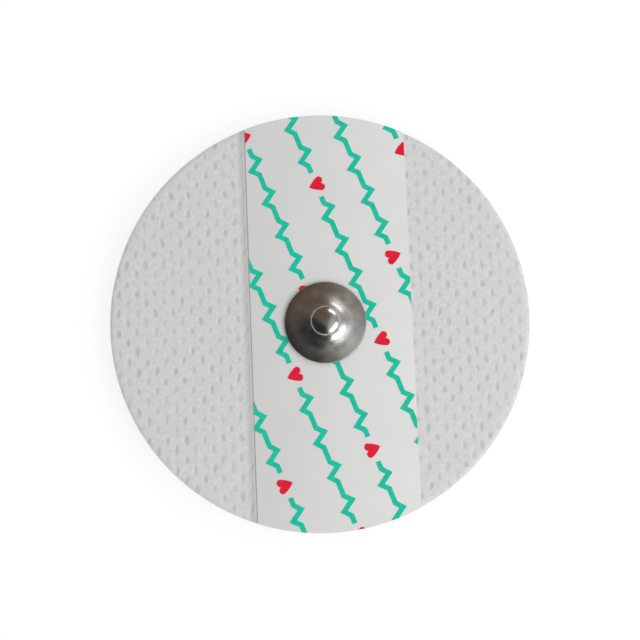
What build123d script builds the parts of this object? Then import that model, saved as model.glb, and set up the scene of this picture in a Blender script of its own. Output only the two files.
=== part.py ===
from build123d import *
import math
import os

# A disc electrode for the skin. A printed label strip lies across a round nonwoven backing,
# a snap stud is crimped through both to the sensor eyelet under them, a gel pad covers the
# eyelet, and a moulded release liner covers the sticky underside and the gel.
# The origin is the centre of the disc, on the plane that the liner's cup rests on. +Z points
# to the head of the stud, and +Y runs along the label strip.
# All lengths are in millimetres and all angles in degrees.

# Backing, label and liner
disc_dia = 55.0
backing_thick = 0.45
label_width = 21.1
label_off_centre = 1.55
label_thick = 0.10
liner_thick = 0.20

# Pits embossed in the nonwoven, in staggered rows
pit_width = 0.52
pit_length = 1.20
pit_depth = 0.16
pit_pitch = 2.36
pit_row_pitch = 1.28
pit_edge_margin = 1.3

# Where the stud's axis stands off the centre of the disc
stud_x = 0.70
stud_y = -0.31

# Snap stud, stamped from sheet
stud_wall = 0.22
flange_dia = 10.7
rim_height = 0.54
rim_bevel = 0.20
skirt_angle = 8.0
shoulder_dia = 7.0
shoulder_angle = 24.0
neck_dia = 3.1
cove_size = 0.30
neck_length = 0.20
head_dia = 3.9
head_flare = 0.36
head_band = 0.45
crown_dia = 3.2
crown_rise = 0.23
dome_rise = 0.30

# Sensor eyelet, whose post is riveted over inside the stud
eyelet_dia = 10.0
eyelet_thick = 0.50
post_play = 0.13
post_hole_clearance = 0.05
rivet_grip = 0.12
rivet_clearance = 0.04

# Gel pad, and the liner's cup that holds it
gel_dia = 16.0
gel_thick = 2.0
gel_clearance = 0.05
cup_clearance = 0.6
cup_draft = 14.0
cup_brim = 0.45

# Print on the label: slanting rows that read down and up by turns
ink_thick = 0.03
ink_clearance = 0.05
row_slant = 20.1
row_pair_pitch = 12.25
down_row_off_centre = 6.45
up_row_off_centre = 0.0
motif_pitch = 22.3
down_heart_place = 5.4
up_heart_place = 18.1
heart_width = 1.95
heart_height = 2.0
heart_flank_x = 0.66
heart_flank_y = -0.18
trace_gap = 0.75
trace_stroke = 0.66
beat_pitch = 4.7
beat_line = [(0.20, 0), (0.38, 0.82), (0.60, -0.72), (0.78, 0)]
smallest_mark = 0.15

# Levels of the layers, from the resting plane up
liner_top = gel_thick + liner_thick
backing_top = liner_top + backing_thick
label_top = backing_top + label_thick
disc_radius = disc_dia / 2
neck_bore_radius = neck_dia / 2 - stud_wall
post_radius = neck_bore_radius - post_play
post_hole_radius = post_radius + post_hole_clearance
stud_place = Pos(stud_x, stud_y, 0)
upright = (Align.CENTER, Align.CENTER, Align.MIN)


def slope(angle):
    return math.tan(math.radians(angle))


def turned(section):
    return revolve(Plane.XZ * section, Axis.Z)


def runs(points):
    # Each point of a line, with the directions in which the line arrives there and leaves.
    steps = [(after - before).normalized() for before, after in zip(points, points[1:])]
    return zip(points, [steps[0], *steps], [*steps, steps[-1]])


def mitre(arriving, leaving):
    # From a corner of a line to the same corner of a line one unit to its left.
    middle = (arriving + leaving).normalized()
    return middle.rotate(Axis.Z, 90) * (1 / middle.dot(leaving))


def pressed_section(points, wall, outside=None):
    # The section of a pressed sheet, whose inside is a line of points moved one wall to the left.
    outside = outside or Polyline(*points)
    inside = Polyline(*[point + mitre(*bend) * wall for point, *bend in runs(points)])
    ends = [Line(outside @ 0, inside @ 0), Line(outside @ 1, inside @ 1)]
    return make_face([*outside.edges(), *inside.edges(), *ends])


# Snap stud
def stud_levels():
    # Heights of the stud's outer line above the label, at each change of its slope.
    shoulder = rim_height + (flange_dia - shoulder_dia) / 2 * slope(skirt_angle)
    neck = shoulder + (shoulder_dia - neck_dia) / 2 * slope(shoulder_angle)
    head = neck + cove_size * (1 - slope(shoulder_angle)) + neck_length
    band = head + head_flare
    corner = band + head_band
    crown = corner + crown_rise
    return shoulder, neck, head, band, corner, crown


def snap_stud():
    shoulder, neck, head, band, corner, crown = stud_levels()
    rim_radius = flange_dia / 2
    cove_foot = neck - cove_size * slope(shoulder_angle)
    foot = Vector(rim_radius, 0)
    rim = Vector(rim_radius, rim_height)
    rim_bevelled = [
        Vector(rim_radius, rim_height - rim_bevel),
        Vector(rim_radius - rim_bevel, rim_height + rim_bevel * slope(skirt_angle)),
    ]
    skirt_end = Vector(shoulder_dia / 2, shoulder)
    neck_start = Vector(neck_dia / 2, neck)
    cove = [
        Vector(neck_dia / 2 + cove_size, cove_foot),
        Vector(neck_dia / 2, cove_foot + cove_size),
    ]
    knob = [
        Vector(neck_dia / 2, head),
        Vector(head_dia / 2, band),
        Vector(head_dia / 2, corner),
        Vector(crown_dia / 2, crown),
    ]
    top = (0, crown + dome_rise)
    dome_radius = ((crown_dia / 2) ** 2 + dome_rise ** 2) / (2 * dome_rise)
    outside = Polyline(foot, *rim_bevelled, skirt_end, *cove, *knob)
    outside += RadiusArc(knob[-1], top, -dome_radius)
    sharp = [foot, rim, skirt_end, neck_start, *knob, Vector(0, crown)]
    return Pos(stud_x, stud_y, label_top) * turned(pressed_section(sharp, stud_wall, outside))


# Sensor eyelet
def sensor_eyelet():
    # The rivet fills the stud's head: its edge sits in the flare, and its top is under the crown.
    shoulder, neck, head, band, corner, crown = stud_levels()
    rivet_radius = neck_bore_radius + rivet_grip
    flare_run = (head_dia - neck_dia) / 2
    flare_wall = stud_wall * math.hypot(flare_run, head_flare) / flare_run
    seat = head + (rivet_radius - neck_dia / 2) * head_flare / flare_run + flare_wall
    rivet_foot = label_top + seat + rivet_clearance
    rivet_top = label_top + crown - stud_wall - rivet_clearance
    flange = Cylinder(eyelet_dia / 2, eyelet_thick, align=upright)
    post = Cylinder(post_radius, rivet_foot - liner_top, align=upright)
    rivet = Cylinder(rivet_radius, rivet_top - rivet_foot, align=upright)
    eyelet = Pos(0, 0, liner_top - eyelet_thick) * flange + Pos(0, 0, liner_top) * post
    return stud_place * (eyelet + Pos(0, 0, rivet_foot) * rivet)


# Nonwoven backing
def pit_places():
    # Staggered rows, kept clear of the disc's edge and of the label that lies over the middle.
    rows = math.ceil(disc_radius / pit_row_pitch)
    columns = math.ceil(disc_radius / pit_pitch) + 1
    clear_radius = disc_radius - pit_edge_margin
    clear_of_label = (label_width + pit_width) / 2 + pit_edge_margin
    for row in range(-rows, rows + 1):
        for column in range(-columns, columns + 1):
            x = (column + row % 2 / 2) * pit_pitch
            y = row * pit_row_pitch
            inside = math.hypot(abs(x) + pit_width / 2, abs(y) + pit_length / 2) < clear_radius
            if inside and abs(x - label_off_centre) > clear_of_label:
                yield Pos(x, y, backing_top)


def backing_disc():
    disc = Pos(0, 0, liner_top) * Cylinder(disc_radius, backing_thick, align=upright)
    hole = stud_place * Cylinder(post_hole_radius, 4 * backing_top)
    mouth = Polygon(
        (0, pit_length / 2), (-pit_width / 2, -pit_length / 2), (pit_width / 2, -pit_length / 2), align=None
    )
    pit = loft([mouth.face(), Vertex(0, -pit_length / 4, -pit_depth)])
    return disc - [hole] - [place * pit for place in pit_places()]


# Label strip and its print
def label_outline():
    strip = Pos(label_off_centre, 0) * Rectangle(label_width, disc_dia)
    return strip & Circle(disc_radius)


def label_strip():
    hole = stud_place * Circle(post_hole_radius)
    return Pos(0, 0, backing_top) * extrude(label_outline() - hole, label_thick)


def row_places(off_centre, heart_place, reading_angle):
    # One place for each heart of the rows that read one way, over more than the whole disc.
    across = Vector(1, 0).rotate(Axis.Z, row_slant)
    along = Vector(0, -1).rotate(Axis.Z, row_slant)
    pairs = math.ceil(disc_radius / row_pair_pitch)
    motifs = math.ceil(disc_radius / motif_pitch) + 1
    for pair in range(-pairs, pairs + 1):
        for motif in range(-motifs, motifs + 1):
            row = across * (off_centre + pair * row_pair_pitch)
            spot = row + along * (heart_place + motif * motif_pitch)
            yield Pos(spot) * Rot(0, 0, row_slant + reading_angle)


def motif_places():
    yield from row_places(down_row_off_centre, down_heart_place, -90)
    yield from row_places(up_row_off_centre, up_heart_place, 90)


def heart():
    # Upright on a row that reads along +X, with its middle at the origin.
    lobe_radius = heart_width / 4
    side = (heart_width / 2, heart_height / 2 - lobe_radius)
    flank_middle = (heart_flank_x, heart_flank_y)
    lobe = ThreePointArc((0, side[1]), (lobe_radius, heart_height / 2), side)
    flank = ThreePointArc(side, flank_middle, (0, -heart_height / 2))
    half = lobe + flank
    return make_face((half + mirror(half, Plane.YZ)).edges())


def pen_line(points, width):
    # The outline of a pen line, with mitred corners.
    sides = [(point, mitre(*bend) * (width / 2)) for point, *bend in runs(points)]
    left = [point + side for point, side in sides]
    right = [point - side for point, side in sides]
    return Polygon(*left, *reversed(right), align=None)


def pulse_trace():
    # A run of heartbeats that fills the row from one heart to the next.
    first = heart_width / 2 + trace_gap
    last = motif_pitch - first
    beats = max(1, round((last - first) / beat_pitch))
    beat = (last - first) / beats
    points = [Vector(first, 0)]
    for index in range(beats):
        points += [Vector(first + (index + share) * beat, height) for share, height in beat_line]
    points.append(Vector(last, 0))
    return pen_line(points, trace_stroke)


def printed(motif):
    # The motif in every place of every row, as far as the label shows clear of the stud.
    # What the label's edge would leave as a mere speck is left out, and its area is in mm2.
    printable = label_outline() - stud_place * Circle(flange_dia / 2 + ink_clearance)
    marks = []
    for place in motif_places():
        for face in (printable & (place * motif)).faces():
            if face.area > smallest_mark:
                marks += extrude(face, ink_thick, dir=(0, 0, 1)).solids()
    return Pos(0, 0, label_top) * Compound(marks)


# Gel pad and release liner
def gel_pad():
    pad = Pos(0, 0, liner_thick) * Cylinder(gel_dia / 2, gel_thick, align=upright)
    seat_depth = eyelet_thick + gel_clearance
    seat = Cylinder(eyelet_dia / 2 + gel_clearance, seat_depth, align=upright)
    return stud_place * (pad - Pos(0, 0, liner_top - seat_depth) * seat)


def release_liner():
    flare = slope(cup_draft)
    floor_radius = gel_dia / 2 + cup_clearance
    mouth_radius = floor_radius + gel_thick * flare
    brim_radius = mouth_radius + cup_brim
    cup_line = [
        Vector(0, 0),
        Vector(floor_radius, 0),
        Vector(mouth_radius, gel_thick),
        Vector(brim_radius, gel_thick),
    ]
    cup = stud_place * turned(pressed_section(cup_line, liner_thick))
    sheet = Pos(0, 0, gel_thick) * Cylinder(disc_radius, liner_thick, align=upright)
    sheet -= stud_place * Cylinder(brim_radius, 4 * liner_top)
    return sheet + cup


parts = {
    "snap_stud": snap_stud(),
    "sensor_eyelet": sensor_eyelet(),
    "backing_disc": backing_disc(),
    "label_strip": label_strip(),
    "pulse_print": printed(pulse_trace()),
    "heart_print": printed(heart()),
    "gel_pad": gel_pad(),
    "release_liner": release_liner(),
}

os.makedirs("parts", exist_ok=True)
for name, solid in parts.items():
    export_step(solid, f"parts/{name}.step")
    print(name, round(solid.volume, 2), len(solid.solids()))
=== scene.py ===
import bpy
import math
import random
from mathutils import Matrix, Vector


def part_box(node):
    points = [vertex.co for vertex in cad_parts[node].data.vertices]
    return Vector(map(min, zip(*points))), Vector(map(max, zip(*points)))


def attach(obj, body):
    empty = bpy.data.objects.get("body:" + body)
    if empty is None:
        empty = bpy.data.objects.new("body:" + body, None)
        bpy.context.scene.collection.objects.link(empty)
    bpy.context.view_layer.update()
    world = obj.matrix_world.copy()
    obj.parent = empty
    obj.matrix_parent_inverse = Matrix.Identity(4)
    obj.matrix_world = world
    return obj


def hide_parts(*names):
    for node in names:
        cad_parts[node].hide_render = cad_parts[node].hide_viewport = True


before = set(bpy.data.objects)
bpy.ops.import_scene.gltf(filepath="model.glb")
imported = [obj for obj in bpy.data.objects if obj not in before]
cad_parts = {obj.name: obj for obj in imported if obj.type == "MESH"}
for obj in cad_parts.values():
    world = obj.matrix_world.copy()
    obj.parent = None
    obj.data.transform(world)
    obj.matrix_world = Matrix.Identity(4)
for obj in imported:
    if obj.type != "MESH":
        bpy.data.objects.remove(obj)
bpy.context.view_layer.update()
random.seed(7)

mm = 0.001
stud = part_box("snap_stud")
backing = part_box("backing_disc")
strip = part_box("label_strip")
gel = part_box("gel_pad")
studAxis = Vector(((stud[0].x + stud[1].x) / 2, (stud[0].y + stud[1].y) / 2, 0))
discRadius = (backing[1].y - backing[0].y) / 2
backingTop = backing[1].z
backingFoot = backing[0].z
labelTop = strip[1].z
print("frame loaded")


# Helpers for modelling

def deselectAll():
    if bpy.context.object and bpy.context.object.mode != "OBJECT":
        bpy.ops.object.mode_set(mode="OBJECT")
    bpy.ops.object.select_all(action="DESELECT")


def makeActive(piece):
    deselectAll()
    piece.select_set(True)
    bpy.context.view_layer.objects.active = piece


def applyAll(piece):
    makeActive(piece)
    bpy.ops.object.transform_apply(location=True, rotation=True, scale=True)
    for modifier in list(piece.modifiers):
        bpy.ops.object.modifier_apply(modifier=modifier.name)


def smoothBy(piece, angle):
    makeActive(piece)
    bpy.ops.object.shade_smooth_by_angle(angle=math.radians(angle))


def selectWhere(piece, test):
    # Selects the vertices that pass a test, from object mode, and goes into edit mode.
    makeActive(piece)
    for edge in piece.data.edges:
        edge.select = False
    for face in piece.data.polygons:
        face.select = False
    for vertex in piece.data.vertices:
        vertex.select = test(vertex.co)
    bpy.ops.object.mode_set(mode="EDIT")
    bpy.ops.mesh.select_mode(type="VERT")


def selectOpenEdges(piece):
    # Goes into edit mode with only the open edges selected.
    makeActive(piece)
    bpy.ops.object.mode_set(mode="EDIT")
    bpy.ops.mesh.select_mode(type="EDGE")
    bpy.ops.mesh.select_all(action="DESELECT")
    bpy.ops.mesh.select_non_manifold(extend=False, use_wire=False, use_boundary=True, use_multi_face=False,
                                     use_non_contiguous=False, use_verts=False)


def openVertices(piece):
    # Indices of the vertices on open edges.
    counts = {}
    for face in piece.data.polygons:
        for key in face.edge_keys:
            counts[key] = counts.get(key, 0) + 1
    return {index for key, count in counts.items() if count == 1 for index in key}


def turnOutwards():
    # Points all faces of the mesh in edit mode outwards, and goes back to object mode.
    bpy.ops.mesh.select_all(action="SELECT")
    bpy.ops.mesh.normals_make_consistent(inside=False)
    bpy.ops.object.mode_set(mode="OBJECT")


def turnedShell(name, outline, centre, steps):
    # A surface of revolution, from an open first ring to a pole on the axis.
    deselectAll()
    radius, height = outline[0]
    bpy.ops.mesh.primitive_circle_add(vertices=steps, radius=radius, location=(centre.x, centre.y, height))
    piece = bpy.context.object
    piece.name = name
    bpy.ops.object.transform_apply(location=True, rotation=True, scale=True)
    bpy.ops.object.mode_set(mode="EDIT")
    bpy.ops.mesh.select_all(action="SELECT")
    for nextRadius, nextHeight in outline[1:-1]:
        growth = nextRadius / radius
        bpy.ops.mesh.extrude_region()
        bpy.ops.transform.resize(value=(growth, growth, 1), center_override=centre)
        bpy.ops.transform.translate(value=(0, 0, nextHeight - height))
        radius, height = nextRadius, nextHeight
    bpy.ops.mesh.extrude_region()
    bpy.ops.transform.translate(value=(0, 0, outline[-1][1] - height))
    bpy.ops.mesh.merge(type="CENTER")
    turnOutwards()
    return piece


def roundedLine(corners, steps):
    # Points (radius, height) of a line with rounded corners. A corner is (radius, height, rounding).
    line = []
    for index, (radius, height, rounding) in enumerate(corners):
        corner = Vector((radius, height))
        if rounding == 0 or index in (0, len(corners) - 1):
            line.append(corner)
            continue
        before = (Vector(corners[index - 1][:2]) - corner).normalized()
        after = (Vector(corners[index + 1][:2]) - corner).normalized()
        half = before.angle(after) / 2
        centre = corner + (before + after).normalized() * rounding / math.sin(half)
        start = corner + before * rounding / math.tan(half) - centre
        end = corner + after * rounding / math.tan(half) - centre
        turn = start.angle_signed(end)
        for step in range(steps + 1):
            angle = -turn * step / steps
            spoke = Vector((start.x * math.cos(angle) - start.y * math.sin(angle),
                            start.x * math.sin(angle) + start.y * math.cos(angle)))
            line.append(centre + spoke)
    return line


# Helpers for materials

def feed(tree, socket, value):
    # Links a socket to another one, or sets it to a number, a direction or a colour.
    if isinstance(value, bpy.types.NodeSocket):
        tree.links.new(value, socket)
    elif socket.type == "RGBA":
        socket.default_value = (*value, 1)
    else:
        socket.default_value = value


def newMaterial(name, sockets):
    # The sockets are those of the shader that have one value all over.
    material = bpy.data.materials.new(name)
    material.use_nodes = True
    tree = material.node_tree
    shader = tree.nodes["Principled BSDF"]
    for socket, value in sockets.items():
        feed(tree, shader.inputs[socket], value)
    return material, tree, shader


def noiseGroup():
    # Noise over the object, put out as a mask, for any material.
    group = bpy.data.node_groups.new("fineNoise", "ShaderNodeTree")
    group.interface.new_socket(name="Scale", in_out="INPUT", socket_type="NodeSocketFloat")
    group.interface.new_socket(name="Detail", in_out="INPUT", socket_type="NodeSocketFloat")
    group.interface.new_socket(name="Mask", in_out="OUTPUT", socket_type="NodeSocketFloat")
    inside = group.nodes.new("NodeGroupInput")
    outside = group.nodes.new("NodeGroupOutput")
    place = group.nodes.new("ShaderNodeTexCoord")
    noise = group.nodes.new("ShaderNodeTexNoise")
    group.links.new(place.outputs["Object"], noise.inputs["Vector"])
    group.links.new(inside.outputs["Scale"], noise.inputs["Scale"])
    group.links.new(inside.outputs["Detail"], noise.inputs["Detail"])
    group.links.new(noise.outputs["Fac"], outside.inputs["Mask"])
    return group


fineNoise = noiseGroup()


def noiseMask(tree, scale, detail):
    node = tree.nodes.new("ShaderNodeGroup")
    node.node_tree = fineNoise
    node.inputs["Scale"].default_value = scale
    node.inputs["Detail"].default_value = detail
    return node.outputs["Mask"]


def mappedRange(tree, mask, low, high, toLow=0, toHigh=1, blend="LINEAR"):
    node = tree.nodes.new("ShaderNodeMapRange")
    node.interpolation_type = blend
    node.inputs["From Min"].default_value = low
    node.inputs["From Max"].default_value = high
    node.inputs["To Min"].default_value = toLow
    node.inputs["To Max"].default_value = toHigh
    tree.links.new(mask, node.inputs["Value"])
    return node.outputs["Result"]


def patches(tree, scale, detail, low, high, toLow=0, toHigh=1):
    # Noise whose values from low to high are drawn out to another range.
    return mappedRange(tree, noiseMask(tree, scale, detail), low, high, toLow, toHigh)


def mixedColour(tree, mask, first, second):
    # The second colour where the mask is 1. Each is a colour or a link.
    node = tree.nodes.new("ShaderNodeMix")
    node.data_type = "RGBA"
    feed(tree, node.inputs["Factor"], mask)
    feed(tree, node.inputs["A"], first)
    feed(tree, node.inputs["B"], second)
    return node.outputs["Result"]


def mathNode(tree, operation, first, second):
    # Each value is a number or a link.
    node = tree.nodes.new("ShaderNodeMath")
    node.operation = operation
    feed(tree, node.inputs[0], first)
    feed(tree, node.inputs[1], second)
    return node.outputs["Value"]


def vectorNode(tree, operation, first, second=(0, 0, 0)):
    # Puts out a number for a dot product or a length, and else a vector.
    node = tree.nodes.new("ShaderNodeVectorMath")
    node.operation = operation
    feed(tree, node.inputs[0], first)
    feed(tree, node.inputs[1], second)
    return node.outputs["Value" if operation in ("DOT_PRODUCT", "LENGTH") else "Vector"]


def bumped(tree, shader, height, strength, distance):
    node = tree.nodes.new("ShaderNodeBump")
    node.inputs["Strength"].default_value = strength
    node.inputs["Distance"].default_value = distance
    tree.links.new(height, node.inputs["Height"])
    tree.links.new(node.outputs["Normal"], shader.inputs["Normal"])


# Snap stud

metalFinish = {
    "shader": {"Metallic": 1},
    "dark": (0.53, 0.52, 0.508),
    "bright": (0.67, 0.66, 0.643),
    "rimDark": (0.42, 0.408, 0.392),
    "smudge": {"scale": 900, "detail": 4},
    "smudgeRange": (0.35, 0.65),            # of the noise, for the colour
    "smearRange": (0.3, 0.7),               # of the noise, for the roughness
    "headRoughness": 0.15,
    "neckRoughness": 0.07,                  # added to the head's
    "flangeRoughness": 0.06,                # added again, further out
    "smearRoughness": 0.09,
    "neckZone": (1.50 * mm, 1.72 * mm),     # from the axis
    "flangeZone": (2.7 * mm, 4.2 * mm),
    "rimDarkZone": (3.9 * mm, 5.1 * mm),
    "scratches": {"scale": 2600, "detail": 4},
    "bump": {"strength": 0.12, "distance": 0.02 * mm},
}


def axisDistance(tree):
    # How far a place is from the stud's axis.
    place = tree.nodes.new("ShaderNodeTexCoord")
    offset = vectorNode(tree, "SUBTRACT", place.outputs["Object"], studAxis)
    level = vectorNode(tree, "MULTIPLY", offset, (1, 1, 0))
    return vectorNode(tree, "LENGTH", level)


def studMetal():
    finish = metalFinish
    material, tree, shader = newMaterial("studNickel", finish["shader"])
    smudge = noiseMask(tree, **finish["smudge"])
    outwards = axisDistance(tree)

    smudged = mappedRange(tree, smudge, *finish["smudgeRange"])
    plating = mixedColour(tree, smudged, finish["dark"], finish["bright"])
    # Darker towards the flange's rim.
    rimDarkening = mappedRange(tree, outwards, *finish["rimDarkZone"])
    tree.links.new(mixedColour(tree, rimDarkening, plating, finish["rimDark"]), shader.inputs["Base Color"])

    neckRoughness = finish["headRoughness"] + finish["neckRoughness"]
    neck = mappedRange(tree, outwards, *finish["neckZone"], finish["headRoughness"], neckRoughness)
    flange = mappedRange(tree, outwards, *finish["flangeZone"], 0, finish["flangeRoughness"])
    smeared = mappedRange(tree, smudge, *finish["smearRange"], 0, finish["smearRoughness"])
    worn = mathNode(tree, "ADD", neck, flange)
    tree.links.new(mathNode(tree, "ADD", worn, smeared), shader.inputs["Roughness"])

    handled = mappedRange(tree, outwards, *finish["flangeZone"])
    scratched = mathNode(tree, "MULTIPLY", noiseMask(tree, **finish["scratches"]), handled)
    bumped(tree, shader, scratched, **finish["bump"])
    return material


studShape = {
    "rings": 144,
    "wall": 0.22,
    "rimHeight": 0.42,
    "rimRound": 0.14,
    "profile": [                # radius, height above the label, rounding
        (3.50, 0.82, 6.0),      # end of the skirt
        (2.40, 1.21, 4.0),      # start of the cove
        (1.55, 1.76, 0.30),     # foot of the neck
        (1.55, 2.035, 0.10),    # top of the neck
        (1.95, 2.395, 0.08),    # foot of the band
        (1.95, 2.79, 0.46),     # top of the band
        (1.60, 2.984, 0),       # edge of the dome
    ],
    "roundSteps": 6,
    "domeRise": 0.385,
    "domeSteps": 10,
    "smoothAngle": 40,
}


def snapStud():
    # One pressed sheet, turned from its outer face and then given its wall.
    shape = studShape
    foot = labelTop / mm
    rimRadius = (stud[1].x - stud[0].x) / 2 / mm
    corners = [(rimRadius, 0, 0), (rimRadius, shape["rimHeight"], shape["rimRound"])] + shape["profile"]
    outline = [(point.x, foot + point.y) for point in roundedLine(corners, shape["roundSteps"])]

    edgeRadius, edgeHeight, _ = shape["profile"][-1]
    top = foot + edgeHeight + shape["domeRise"]
    domeRadius = (edgeRadius ** 2 + shape["domeRise"] ** 2) / (2 * shape["domeRise"])
    for step in range(1, shape["domeSteps"] + 1):
        radius = edgeRadius * (1 - step / shape["domeSteps"])
        drop = domeRadius - math.sqrt(domeRadius ** 2 - radius ** 2)
        outline.append((radius, top - drop))

    outline = [(radius * mm, height * mm) for radius, height in outline]
    piece = turnedShell("snapStud", outline, studAxis, shape["rings"])
    solidify = piece.modifiers.new("wall", "SOLIDIFY")
    solidify.thickness = shape["wall"] * mm
    solidify.offset = -1
    solidify.use_even_offset = True
    applyAll(piece)
    smoothBy(piece, shape["smoothAngle"])
    piece.data.materials.append(studMetal())
    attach(piece, "root")
    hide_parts("snap_stud")


snapStud()
print("snap stud ready")


# Nonwoven backing

fabricFinish = {
    "shader": {"Roughness": 0.85, "Sheen Weight": 0.15, "Sheen Roughness": 0.5},
    "pale": (0.661, 0.661, 0.654),
    "grey": (0.584, 0.584, 0.581),
    "fleck": (0.705, 0.705, 0.697),
    # The pit colour: compacted fibres in the pits, partly painted shade in the hollows, and also the colour
    # of the painted shade beside the label.
    "pit": (0.52, 0.52, 0.515),
    "tufts": {"scale": 1500, "detail": 6, "low": 0.32, "high": 0.68},
    "flecks": {"scale": 3800, "detail": 2, "low": 0.56, "high": 0.68},
    "fibres": {"scale": 4200, "detail": 2},
    "bump": {"strength": 0.40, "distance": 0.03 * mm},
}


def nonwovenFabric():
    finish = fabricFinish
    material, tree, shader = newMaterial("nonwovenFabric", finish["shader"])
    matted = mixedColour(tree, patches(tree, **finish["tufts"]), finish["grey"], finish["pale"])
    ground = mixedColour(tree, patches(tree, **finish["flecks"]), matted, finish["fleck"])
    # The "pit" attribute darkens the colour towards the pit colour: in the pits as compacted fibres and
    # partly as painted shade in the hollows, and beside the label's left edge as painted shade.
    pit = tree.nodes.new("ShaderNodeAttribute")
    pit.attribute_name = "pit"
    pressed = mixedColour(tree, pit.outputs["Fac"], ground, finish["pit"])
    tree.links.new(pressed, shader.inputs["Base Color"])
    bumped(tree, shader, noiseMask(tree, **finish["fibres"]), **finish["bump"])
    return material


sheetShape = {                      # in millimetres
    "fineCell": 0.125,
    "hiddenCell": 0.55,
    "hiddenMargins": (0.8, 1.2),    # from the label's left and right edges
    "rowCell": 0.15,
    "rimTrim": 0.05,
    "holeTrim": 0.1,
    "holeRadius": 1.25,
    "edgeRound": 0.16,
    "rimDrop": 0.6,                 # shares of edgeRound
    "shoulderDrop": 0.15,
    "droop": 0.06,
    "droopWidth": 1.4,
    "pitWidth": 0.66,
    "pitLength": 1.30,
    "pitDepth": 0.075,
    "pitBowl": 1.5,                 # a higher number gives a flatter floor and steeper sides
    "uneven": {
        "x": 0.09,
        "y": 0.10,
        "width": (0.75, 1.25),
        "length": (0.75, 1.2),
        "depth": (0.45, 1.15),
        "lean": 0.16,
        "taper": 0.35,
    },
    "leftPits": {"pitch": 2.39, "rowPitch": 1.29, "x": 1.085, "y": 0.62},
    "rightPits": {"pitch": 2.31, "rowPitch": 1.245, "x": 1.85, "y": 0.40},
    # The third number of each edge is painted shade: it darkens the fabric's colour in a band beside the
    # label's edge, on the left only.
    "leftEdge": {"ramp": 0.07, "groove": 0.20, "pressed": 0.75},
    "rightEdge": {"ramp": 0.01, "groove": 0, "pressed": 0},
    "rampWidth": 1.1,
    "grooveWidth": 0.26,
    # How wide the band of painted shade is and how it fades. In and beside the groove the painted shade is
    # stronger, so the groove's lit slope stays dark.
    "pressedWidth": 1.15,
    "pressedFade": 0.3,
    "groovePaintedShade": 1.25,
    "smoothAngle": 50,
}
sheetRadius = discRadius / mm
holeAxis = studAxis / mm
labelLeft = strip[0].x / mm
labelRight = strip[1].x / mm


def pitField(lattice):
    # The pits by row and column: place, half width, half length, depth, lean and taper of each.
    shape = sheetShape
    uneven = shape["uneven"]
    cells = {}
    rows = math.ceil(sheetRadius / lattice["rowPitch"]) + 1
    columns = math.ceil(sheetRadius / lattice["pitch"]) + 1
    for row in range(-rows, rows + 1):
        for column in range(-columns, columns + 1):
            moveX = random.uniform(-uneven["x"], uneven["x"])
            moveY = random.uniform(-uneven["y"], uneven["y"])
            x = lattice["x"] + (column + row % 2 / 2) * lattice["pitch"] + moveX
            y = lattice["y"] + row * lattice["rowPitch"] + moveY
            halfWidth = shape["pitWidth"] * random.uniform(*uneven["width"]) / 2
            halfLength = shape["pitLength"] * random.uniform(*uneven["length"]) / 2
            depth = shape["pitDepth"] * random.uniform(*uneven["depth"])
            lean = random.uniform(-uneven["lean"], uneven["lean"])
            taper = random.uniform(-uneven["taper"], uneven["taper"])
            cells[(row, column)] = (x, y, halfWidth, halfLength, depth, lean, taper)
    return cells


def pitAt(lattice, cells, x, y):
    # How deep the pits near a place are there.
    row = round((y - lattice["y"]) / lattice["rowPitch"])
    deepest = 0
    for nearRow in (row - 1, row, row + 1):
        column = round((x - lattice["x"]) / lattice["pitch"] - nearRow % 2 / 2)
        if (nearRow, column) not in cells:
            continue
        pitX, pitY, halfWidth, halfLength, depth, lean, taper = cells[(nearRow, column)]
        along = (y - pitY) / halfLength
        across = (x - pitX - lean * (y - pitY)) / (halfWidth * (1 + taper * along))
        reach = across ** 2 + along ** 2
        if reach < 1:
            deepest = max(deepest, (1 - reach ** sheetShape["pitBowl"]) * depth)
    return deepest


def sheetColumns():
    # Where the grid's columns stand: close together, except under the label.
    shape = sheetShape
    leftMargin, rightMargin = shape["hiddenMargins"]
    columns = []
    x = -sheetRadius
    while x < sheetRadius:
        columns.append(x)
        hidden = labelLeft + leftMargin < x < labelRight - rightMargin
        x += shape["hiddenCell"] if hidden else shape["fineCell"]
    columns.append(sheetRadius)
    return columns


def fromHole(spot):
    return math.hypot(spot.x - holeAxis.x, spot.y - holeAxis.y)


def flatSheet():
    # A grid in millimetres, trimmed to the disc and to the hole for the eyelet's post.
    shape = sheetShape
    columns = sheetColumns()
    cells = len(columns) - 1
    rows = round(2 * sheetRadius / shape["rowCell"])
    deselectAll()
    bpy.ops.mesh.primitive_grid_add(x_subdivisions=cells, y_subdivisions=rows, size=2 * sheetRadius)
    piece = bpy.context.object
    piece.name = "nonwovenSheet"
    cell = 2 * sheetRadius / cells
    for vertex in piece.data.vertices:
        vertex.co.x = columns[round((vertex.co.x + sheetRadius) / cell)]

    def cutAway(spot):
        outside = math.hypot(spot.x, spot.y) > sheetRadius - shape["rimTrim"]
        return outside or fromHole(spot) < shape["holeRadius"] + shape["holeTrim"]

    selectWhere(piece, cutAway)
    bpy.ops.mesh.delete(type="VERT")
    bpy.ops.object.mode_set(mode="OBJECT")
    return piece


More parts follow.
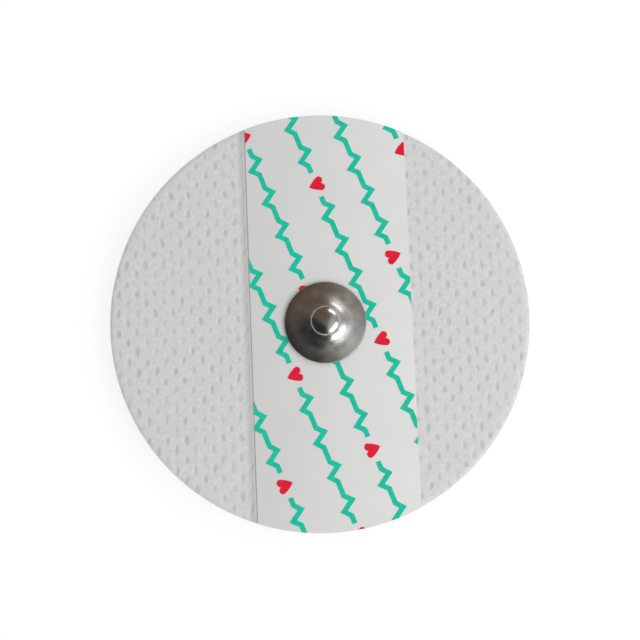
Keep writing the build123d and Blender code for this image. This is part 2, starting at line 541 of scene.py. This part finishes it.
def bareFabric(spot, beside, fields):
    # Height of the fabric beside the label, and how dark its colour is there, where 1 is the colour of a
    # whole pit: darker in the pits, and painted shade in a band beside the label's left edge.
    shape = sheetShape
    side = "left" if spot.x < 0 else "right"
    edge = shape[side + "Edge"]
    pit = pitAt(shape[side + "Pits"], fields[side], spot.x, spot.y)
    ramp = max(0, 1 - beside / shape["rampWidth"])
    groove = max(0, 1 - beside / shape["grooveWidth"])
    height = edge["ramp"] * ramp ** 2 - edge["groove"] * groove - pit
    # A band of painted shade beside the label's edge, strongest in and beside the groove.
    pressed = edge["pressed"] * min(1, max(0, (shape["pressedWidth"] - beside) / shape["pressedFade"]))
    if edge["pressed"] and beside < 2 * shape["grooveWidth"]:
        pressed = shape["groovePaintedShade"]
    return height, max(pit / shape["pitDepth"], pressed)


def nonwovenSheet():
    shape = sheetShape
    piece = flatSheet()
    mesh = piece.data
    fields = {side: pitField(shape[side + "Pits"]) for side in ("left", "right")}
    rims = openVertices(piece)
    pitAndShadeMask = [0.0] * len(mesh.vertices)

    # The rims go out to their circles, the outer edge rounds off and droops, and the pits go in
    for vertex in mesh.vertices:
        spot = vertex.co
        fromCentre = math.hypot(spot.x, spot.y)
        drop = 0
        if vertex.index in rims and fromCentre > sheetRadius / 2:
            spot.x *= sheetRadius / fromCentre
            spot.y *= sheetRadius / fromCentre
            drop = shape["edgeRound"] * shape["rimDrop"]
        elif vertex.index in rims:
            fromAxis = fromHole(spot)
            spot.x = holeAxis.x + (spot.x - holeAxis.x) * shape["holeRadius"] / fromAxis
            spot.y = holeAxis.y + (spot.y - holeAxis.y) * shape["holeRadius"] / fromAxis
        elif fromCentre > sheetRadius - 2 * shape["edgeRound"]:
            drop = shape["edgeRound"] * shape["shoulderDrop"]
        drop += shape["droop"] * max(0, 1 - (sheetRadius - fromCentre) / shape["droopWidth"]) ** 2
        beside = max(labelLeft - spot.x, spot.x - labelRight)
        if beside < 0:
            drop = 0  # the label holds the fabric up to its own underside
        height = 0
        if beside > 0:
            height, pitAndShadeMask[vertex.index] = bareFabric(spot, beside, fields)
        spot.z = backingTop / mm + height - drop
    # Darker pits, partly painted shade, and painted shade beside the label's left edge.
    mesh.attributes.new("pit", "FLOAT", "POINT")
    mesh.attributes["pit"].data.foreach_set("value", pitAndShadeMask)

    # The wall and the underside
    selectOpenEdges(piece)
    bpy.ops.mesh.extrude_edges_move()
    bpy.ops.object.mode_set(mode="OBJECT")
    for vertex in mesh.vertices:
        if vertex.select:
            vertex.co.z = backingFoot / mm
    bpy.ops.object.mode_set(mode="EDIT")
    bpy.ops.mesh.fill()
    turnOutwards()
    piece.scale = (mm, mm, mm)
    applyAll(piece)
    smoothBy(piece, shape["smoothAngle"])
    piece.data.materials.append(nonwovenFabric())
    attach(piece, "root")
    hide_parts("backing_disc")
    print("nonwoven sheet has", len(mesh.polygons), "faces")


nonwovenSheet()


# Label and inks

filmFinish = {
    "shader": {"Roughness": 0.32, "Coat Weight": 0.4, "Coat Roughness": 0.15},
    "pale": (0.705, 0.707, 0.702),
    "grey": (0.685, 0.685, 0.680),
    "clouds": {"scale": 120, "detail": 2, "low": 0.3, "high": 0.7},
    "crown": 6.5,
    "waves": {"scale": 220, "detail": 1, "low": 0, "high": 1, "toHigh": 0.05 * mm},
    "bump": {"strength": 1, "distance": 1},
}


def crownedHeight(tree):
    # A low crown across the strip, as the pad under it gives, with faint waves in the film.
    place = tree.nodes.new("ShaderNodeTexCoord")
    split = tree.nodes.new("ShaderNodeSeparateXYZ")
    tree.links.new(place.outputs["Object"], split.inputs["Vector"])
    offset = mathNode(tree, "SUBTRACT", split.outputs["X"], studAxis.x)
    fall = mathNode(tree, "MULTIPLY", mathNode(tree, "MULTIPLY", offset, offset), -filmFinish["crown"])
    return mathNode(tree, "ADD", fall, patches(tree, **filmFinish["waves"]))


def labelFilm():
    finish = filmFinish
    material, tree, shader = newMaterial("labelFilm", finish["shader"])
    clouded = mixedColour(tree, patches(tree, **finish["clouds"]), finish["grey"], finish["pale"])
    tree.links.new(clouded, shader.inputs["Base Color"])
    bumped(tree, shader, crownedHeight(tree), **finish["bump"])
    return material


inkFinish = {
    "shader": {"Roughness": 0.4, "Specular IOR Level": 0.25},
    "patches": {"scale": 1500, "detail": 3, "low": 0.35, "high": 0.65},
    "darkGreen": (0.001, 0.50, 0.32),
    "lightGreen": (0.004, 0.57, 0.38),
    "darkRed": (0.70, 0.002, 0.025),
    "lightRed": (0.80, 0.005, 0.035),
}


def printedInk(name, dark, light):
    material, tree, shader = newMaterial(name, inkFinish["shader"])
    printed = mixedColour(tree, patches(tree, **inkFinish["patches"]), dark, light)
    tree.links.new(printed, shader.inputs["Base Color"])
    return material


def dress(node, material):
    # A piece that keeps its CAD shape gets its finish.
    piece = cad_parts[node]
    for index in range(len(piece.data.materials)):
        piece.data.materials[index] = material


dress("label_strip", labelFilm())
dress("pulse_print", printedInk("greenInk", inkFinish["darkGreen"], inkFinish["lightGreen"]))
dress("heart_print", printedInk("redInk", inkFinish["darkRed"], inkFinish["lightRed"]))
print("label and inks ready")


# Liner and eyelet

linerFinish = {
    "shader": {"Base Color": (0.92, 0.935, 0.945), "Transmission Weight": 0.7, "IOR": 1.5},
    "haze": {"scale": 300, "detail": 2, "low": 0.3, "high": 0.7, "toLow": 0.04, "toHigh": 0.12},
}

coatingFinish = {
    "shader": {"Metallic": 0.3},
    "dark": (0.36, 0.35, 0.33),
    "light": (0.48, 0.47, 0.45),
    "grain": {"scale": 2500, "detail": 4, "low": 0.3, "high": 0.7},
    "roughness": (0.55, 0.75),
    "fineGrain": {"scale": 4000, "detail": 2},
    "bump": {"strength": 0.2, "distance": 0.02 * mm},
}


def clearFilm():
    material, tree, shader = newMaterial("clearLiner", linerFinish["shader"])
    tree.links.new(patches(tree, **linerFinish["haze"]), shader.inputs["Roughness"])
    return material


def sensorCoating():
    finish = coatingFinish
    material, tree, shader = newMaterial("sensorCoating", finish["shader"])
    grain = patches(tree, **finish["grain"])
    tree.links.new(mixedColour(tree, grain, finish["dark"], finish["light"]), shader.inputs["Base Color"])
    tree.links.new(mappedRange(tree, grain, 0, 1, *finish["roughness"]), shader.inputs["Roughness"])
    bumped(tree, shader, noiseMask(tree, **finish["fineGrain"]), **finish["bump"])
    return material


dress("release_liner", clearFilm())
dress("sensor_eyelet", sensorCoating())
print("liner and eyelet ready")


# Gel pad

gelFinish = {
    "shader": {"Transmission Weight": 0.5, "IOR": 1.36},
    "deep": (0.58, 0.66, 0.64),
    "pale": (0.70, 0.76, 0.74),
    "clouds": {"scale": 700, "detail": 3, "low": 0.3, "high": 0.7},
    "wetness": {"scale": 900, "detail": 2, "low": 0.3, "high": 0.7, "toLow": 0.08, "toHigh": 0.25},
    "pores": {"scale": 2500, "detail": 2},
    "bump": {"strength": 0.3, "distance": 0.05 * mm},
}

gelShape = {
    "rings": 96,
    "roundSteps": 5,
    "edgeRound": 0.45,
    "topRound": 0.15,
    "seatRadius": 5.05,
    "seatDepth": 0.55,
    "seatRound": 0.12,
    "seatRimRound": 0.2,
    "innerRing": 0.2,       # share of the seat's radius
    "footRing": 0.4,        # share of the pad's radius
    "smoothAngle": 60,
}


def wetGel():
    finish = gelFinish
    material, tree, shader = newMaterial("wetGel", finish["shader"])
    clouded = mixedColour(tree, patches(tree, **finish["clouds"]), finish["deep"], finish["pale"])
    tree.links.new(clouded, shader.inputs["Base Color"])
    tree.links.new(patches(tree, **finish["wetness"]), shader.inputs["Roughness"])
    bumped(tree, shader, noiseMask(tree, **finish["pores"]), **finish["bump"])
    return material


def gelPad():
    # A round pad with soft edges, and a seat pressed into its top by the eyelet.
    shape = gelShape
    foot = gel[0].z / mm
    top = gel[1].z / mm
    radius = (gel[1].x - gel[0].x) / 2 / mm
    corners = [
        (shape["seatRadius"] * shape["innerRing"], top - shape["seatDepth"], 0),
        (shape["seatRadius"], top - shape["seatDepth"], shape["seatRound"]),
        (shape["seatRadius"], top, shape["seatRimRound"]),
        (radius, top, shape["topRound"]),
        (radius, foot, shape["edgeRound"]),
        (radius * shape["footRing"], foot, 0),
        (0, foot, 0),
    ]
    outline = [(point.x * mm, point.y * mm) for point in roundedLine(corners, shape["roundSteps"])]
    piece = turnedShell("gelPad", outline, studAxis, shape["rings"])
    selectOpenEdges(piece)
    bpy.ops.mesh.extrude_region()
    bpy.ops.mesh.merge(type="CENTER")
    turnOutwards()
    smoothBy(piece, shape["smoothAngle"])
    piece.data.materials.append(wetGel())
    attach(piece, "root")
    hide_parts("gel_pad")


gelPad()
print("gel pad ready")


# Floor

floorLook = {
    "size": 3.0,
    "shader": {"Base Color": (0.90, 0.90, 0.90), "Roughness": 0.9},
    "glow": 0.78,
    "glowStrength": 1.05,
}


def whiteFloor():
    # Matt, but it shows nearly white to the camera and in gloss, and keeps the shadows.
    deselectAll()
    bpy.ops.mesh.primitive_plane_add(size=floorLook["size"], location=(0, 0, 0))
    floor = bpy.context.object
    floor.name = "floor"
    material, tree, shader = newMaterial("whiteFloor", floorLook["shader"])
    light = tree.nodes.new("ShaderNodeLightPath")
    either = mathNode(tree, "MAXIMUM", light.outputs["Is Glossy Ray"], light.outputs["Is Transmission Ray"])
    seen = mathNode(tree, "MAXIMUM", light.outputs["Is Camera Ray"], either)
    glow = tree.nodes.new("ShaderNodeEmission")
    glow.inputs["Strength"].default_value = floorLook["glowStrength"]
    mix = tree.nodes.new("ShaderNodeMixShader")
    tree.links.new(mathNode(tree, "MULTIPLY", seen, floorLook["glow"]), mix.inputs["Fac"])
    tree.links.new(shader.outputs["BSDF"], mix.inputs[1])
    tree.links.new(glow.outputs["Emission"], mix.inputs[2])
    tree.links.new(mix.outputs["Shader"], tree.nodes["Material Output"].inputs["Surface"])
    floor.data.materials.append(material)


# World

white = (1, 1, 1)
worldLook = {
    "ambient": 0.785,
    "sideways": 0.71,                       # how much stronger it is on the bright side
    "brightSide": (0.94, -0.34, 0),
    "overhead": [                           # from the far side to the bright one
        (0.20, (0.125, 0.125, 0.122)),
        (0.57, (0.165, 0.145, 0.13)),
        (0.72, (0.52, 0.515, 0.505)),
        (0.84, (0.36, 0.355, 0.35)),
    ],
    "brown": (0.17, 0.118, 0.088),
    "brownSide": {"towards": (-0.30, 0.95, 0), "low": 0.04, "high": 0.38},
    "dark": (0.030, 0.036, 0.031),
    "darkSide": {"towards": (-0.66, -0.75, 0), "low": 0.12, "high": 0.40},
    "dimHorizon": (0.20, 0.20, 0.195),
    "brightHorizon": {"low": -0.3, "high": 0.6},
    "lowDown": {"towards": (0, 0, -1), "low": -0.42, "high": -0.14},
}


def directionShare(tree, direction, towards, low, high, blend="SMOOTHSTEP"):
    # From 0 to 1 as a direction turns towards another.
    along = vectorNode(tree, "DOT_PRODUCT", direction, towards)
    return mappedRange(tree, along, low, high, blend=blend)


def studioWorld():
    look = worldLook
    world = bpy.data.worlds.new("studio")
    bpy.context.scene.world = world
    world.use_nodes = True
    tree = world.node_tree
    tree.nodes.clear()
    output = tree.nodes.new("ShaderNodeOutputWorld")
    light = tree.nodes.new("ShaderNodeLightPath")
    direction = tree.nodes.new("ShaderNodeTexCoord").outputs["Generated"]

    # What the metal sees: stripes overhead, brown above, dark below on the left, and a horizon
    ramp = tree.nodes.new("ShaderNodeValToRGB")
    ramp.color_ramp.interpolation = "EASE"
    stops = ramp.color_ramp.elements
    for index, (position, colour) in enumerate(look["overhead"]):
        stop = stops[index] if index < len(stops) else stops.new(position)
        stop.position = position
        stop.color = (*colour, 1)
    aside = directionShare(tree, direction, look["brightSide"], -1, 1, "LINEAR")
    tree.links.new(aside, ramp.inputs["Fac"])
    above = directionShare(tree, direction, **look["brownSide"])
    brown = mixedColour(tree, above, ramp.outputs["Color"], look["brown"])
    below = directionShare(tree, direction, **look["darkSide"])
    dark = mixedColour(tree, below, brown, look["dark"])
    right = directionShare(tree, direction, look["brightSide"], **look["brightHorizon"])
    horizon = mixedColour(tree, right, look["dimHorizon"], white)
    low = directionShare(tree, direction, **look["lowDown"])
    mirrored = mixedColour(tree, low, dark, horizon)
    backdrop = tree.nodes.new("ShaderNodeBackground")
    seen = mixedColour(tree, light.outputs["Is Camera Ray"], mirrored, white)
    tree.links.new(seen, backdrop.inputs["Color"])

    # What lights matt surfaces: white, and stronger from the bright side
    lean = [part * look["sideways"] * look["ambient"] for part in look["brightSide"]]
    slant = vectorNode(tree, "DOT_PRODUCT", direction, lean)
    level = mathNode(tree, "ADD", slant, look["ambient"])
    ambient = tree.nodes.new("ShaderNodeBackground")
    feed(tree, ambient.inputs["Color"], white)
    feed(tree, ambient.inputs["Strength"], level)
    mix = tree.nodes.new("ShaderNodeMixShader")
    tree.links.new(light.outputs["Is Diffuse Ray"], mix.inputs["Fac"])
    tree.links.new(backdrop.outputs["Background"], mix.inputs[1])
    tree.links.new(ambient.outputs["Background"], mix.inputs[2])
    tree.links.new(mix.outputs["Shader"], output.inputs["Surface"])


# Lamps

lampDistance = 0.22
lamps = {
    "upperRight": {"azimuth": 53, "elevation": 37, "width": 0.110, "height": 0.040, "radiance": 3.1},
    "lowerRight": {"azimuth": -38, "elevation": 41, "width": 0.182, "height": 0.066, "radiance": 3.6},
}


def softbox(name, azimuth, elevation, width, height, radiance):
    # A panel lamp that looks at the stud. Azimuth is from +X towards +Y.
    turn = math.radians(azimuth)
    rise = math.radians(elevation)
    away = Vector((math.cos(turn) * math.cos(rise), math.sin(turn) * math.cos(rise), math.sin(rise)))
    target = studAxis + Vector((0, 0, labelTop))
    data = bpy.data.lights.new(name, "AREA")
    data.shape = "RECTANGLE"
    data.size = width
    data.size_y = height
    data.energy = radiance * math.pi * width * height
    lamp = bpy.data.objects.new(name, data)
    bpy.context.collection.objects.link(lamp)
    lamp.location = target + away * lampDistance
    lamp.rotation_euler = away.to_track_quat("Z", "Y").to_euler()


# Camera

photo = {
    "sensorWidth": 36,
    "focalPixels": 1154.1,
    "imagePixels": 640,
    "distance": 151.25,                             # in millimetres, as is the aim
    "towardsCamera": (-0.0041, -0.1019, 0.9948),
    "imageUp": (0.0398, 0.9992, 0),
    "aimRight": 0.017,
    "aimUp": 0.072,
    "clip": (0.01, 10),                             # in metres
}


def photoCamera():
    # Stands where the photo was taken from, and aims at the middle of the disc, but for a slight shift.
    data = bpy.data.cameras.new("camera")
    camera = bpy.data.objects.new("camera", data)
    bpy.context.collection.objects.link(camera)
    data.sensor_width = photo["sensorWidth"]
    data.lens = photo["focalPixels"] / photo["imagePixels"] * data.sensor_width
    data.clip_start, data.clip_end = photo["clip"]
    disc = Vector((0, 0, backingTop))
    towards = Vector(photo["towardsCamera"]).normalized()
    right = Vector(photo["imageUp"]).cross(towards).normalized()
    up = towards.cross(right)
    camera.location = disc + towards * photo["distance"] * mm
    aim = disc + (right * photo["aimRight"] + up * photo["aimUp"]) * mm
    back = (camera.location - aim).normalized()
    right = up.cross(back).normalized()
    up = back.cross(right)
    camera.matrix_world = Matrix((
        (right.x, up.x, back.x, camera.location.x),
        (right.y, up.y, back.y, camera.location.y),
        (right.z, up.z, back.z, camera.location.z),
        (0, 0, 0, 1)))
    bpy.context.scene.camera = camera


whiteFloor()
studioWorld()
for name, lamp in lamps.items():
    softbox(name, **lamp)
photoCamera()
bpy.context.scene.view_settings.view_transform = "Standard"
print("studio ready")
